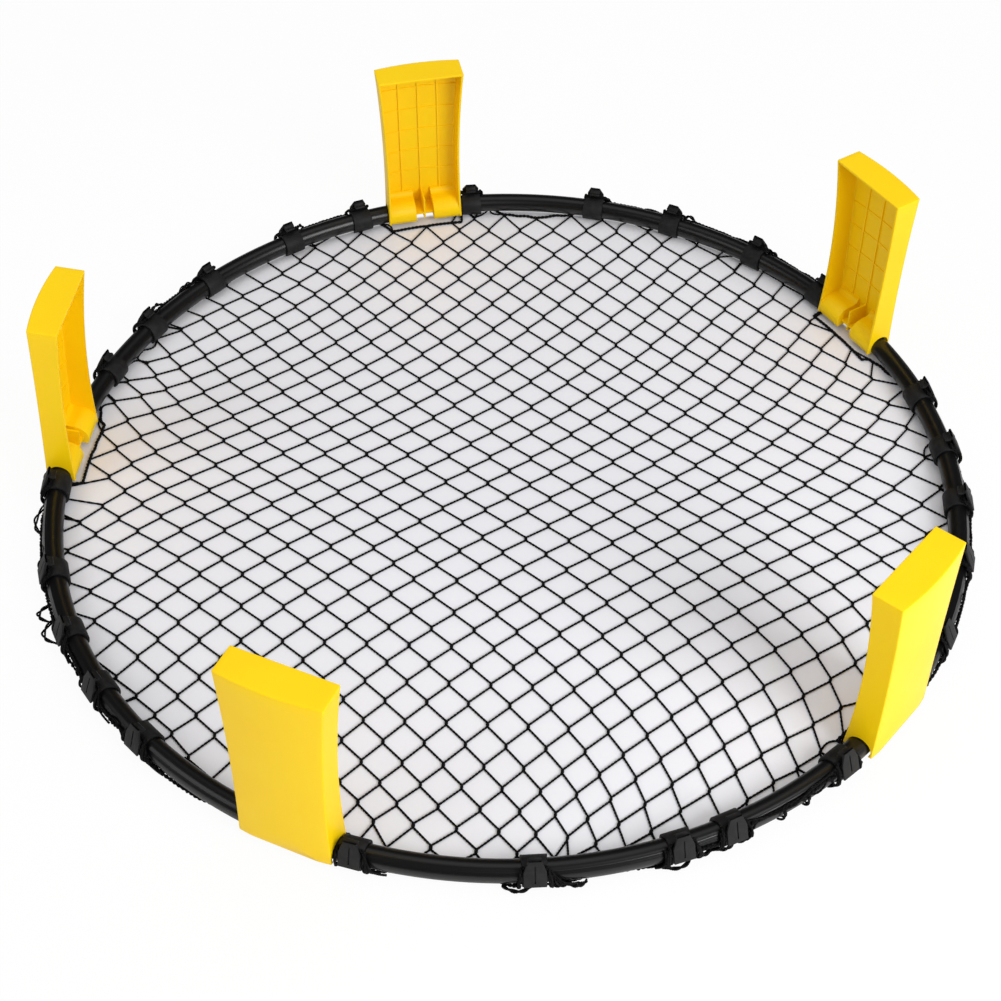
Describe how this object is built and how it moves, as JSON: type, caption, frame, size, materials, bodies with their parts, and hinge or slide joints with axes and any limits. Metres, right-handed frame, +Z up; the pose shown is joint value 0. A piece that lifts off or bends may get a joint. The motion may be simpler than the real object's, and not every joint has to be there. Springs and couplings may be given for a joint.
{
  "type": "roundnet game set",
  "caption": "Round rim of curved black tubes in yellow moulded legs, with a knotted net stretched across it on split hooks; shown rim down, legs up.",
  "frame": {"origin": "centre of the rim, on the floor that the hooks' collars rest on", "axes": "+Z up, from the net side towards the feet of the legs; +Y towards leg_1; the other legs follow anticlockwise seen from above"},
  "size_m": [0.9264, 0.9255, 0.2087],
  "materials": {
    "rim_plastic": "black satin polypropylene pipe with a faint parting line",
    "leg_plastic": "bright yellow satin ABS moulding",
    "hook_plastic": "dull black moulded nylon",
    "net_cord": "black twisted polyester cord, knotted"
  },
  "bodies": {
    "rim": {"rim_tube_1": "rim_plastic", "rim_tube_2": "rim_plastic", "rim_tube_3": "rim_plastic", "rim_tube_4": "rim_plastic", "rim_tube_5": "rim_plastic", "hook_1_1": "hook_plastic", "hook_1_2": "hook_plastic", "hook_1_3": "hook_plastic", "hook_1_4": "hook_plastic", "hook_1_5": "hook_plastic", "hook_2_1": "hook_plastic", "hook_2_2": "hook_plastic", "hook_2_3": "hook_plastic", "hook_2_4": "hook_plastic", "hook_2_5": "hook_plastic", "hook_3_1": "hook_plastic", "hook_3_2": "hook_plastic", "hook_3_3": "hook_plastic", "hook_3_4": "hook_plastic", "hook_3_5": "hook_plastic", "hook_4_1": "hook_plastic", "hook_4_2": "hook_plastic", "hook_4_3": "hook_plastic", "hook_4_4": "hook_plastic", "hook_4_5": "hook_plastic", "hook_5_1": "hook_plastic", "hook_5_2": "hook_plastic", "hook_5_3": "hook_plastic", "hook_5_4": "hook_plastic", "hook_5_5": "hook_plastic", "edge_cord_1": "net_cord", "edge_cord_2": "net_cord", "edge_cord_3": "net_cord", "edge_cord_4": "net_cord", "edge_cord_5": "net_cord", "net": "net_cord"},
    "leg_1": {"leg_1": "leg_plastic"},
    "leg_2": {"leg_2": "leg_plastic"},
    "leg_3": {"leg_3": "leg_plastic"},
    "leg_4": {"leg_4": "leg_plastic"},
    "leg_5": {"leg_5": "leg_plastic"}
  },
  "joints": [
    {"name": "leg_1_rock", "type": "hinge", "parent": "rim", "child": "leg_1", "pos_m": [0, 0.44591, 0.013], "axis": [1, 0, 0], "range_deg": [-19, 11]},
    {"name": "leg_2_rock", "type": "hinge", "parent": "rim", "child": "leg_2", "pos_m": [-0.42408, 0.13779, 0.013], "axis": [0.309, 0.9511, 0], "range_deg": [-22, 8]},
    {"name": "leg_3_rock", "type": "hinge", "parent": "rim", "child": "leg_3", "pos_m": [-0.2621, -0.36075, 0.013], "axis": [-0.809, 0.5878, 0], "range_deg": [-19, 11]},
    {"name": "leg_4_rock", "type": "hinge", "parent": "rim", "child": "leg_4", "pos_m": [0.2621, -0.36075, 0.013], "axis": [-0.809, -0.5878, 0], "range_deg": [-17, 13]},
    {"name": "leg_5_rock", "type": "hinge", "parent": "rim", "child": "leg_5", "pos_m": [0.42408, 0.13779, 0.013], "axis": [0.309, -0.9511, 0], "range_deg": [-17, 13]}
  ]
}
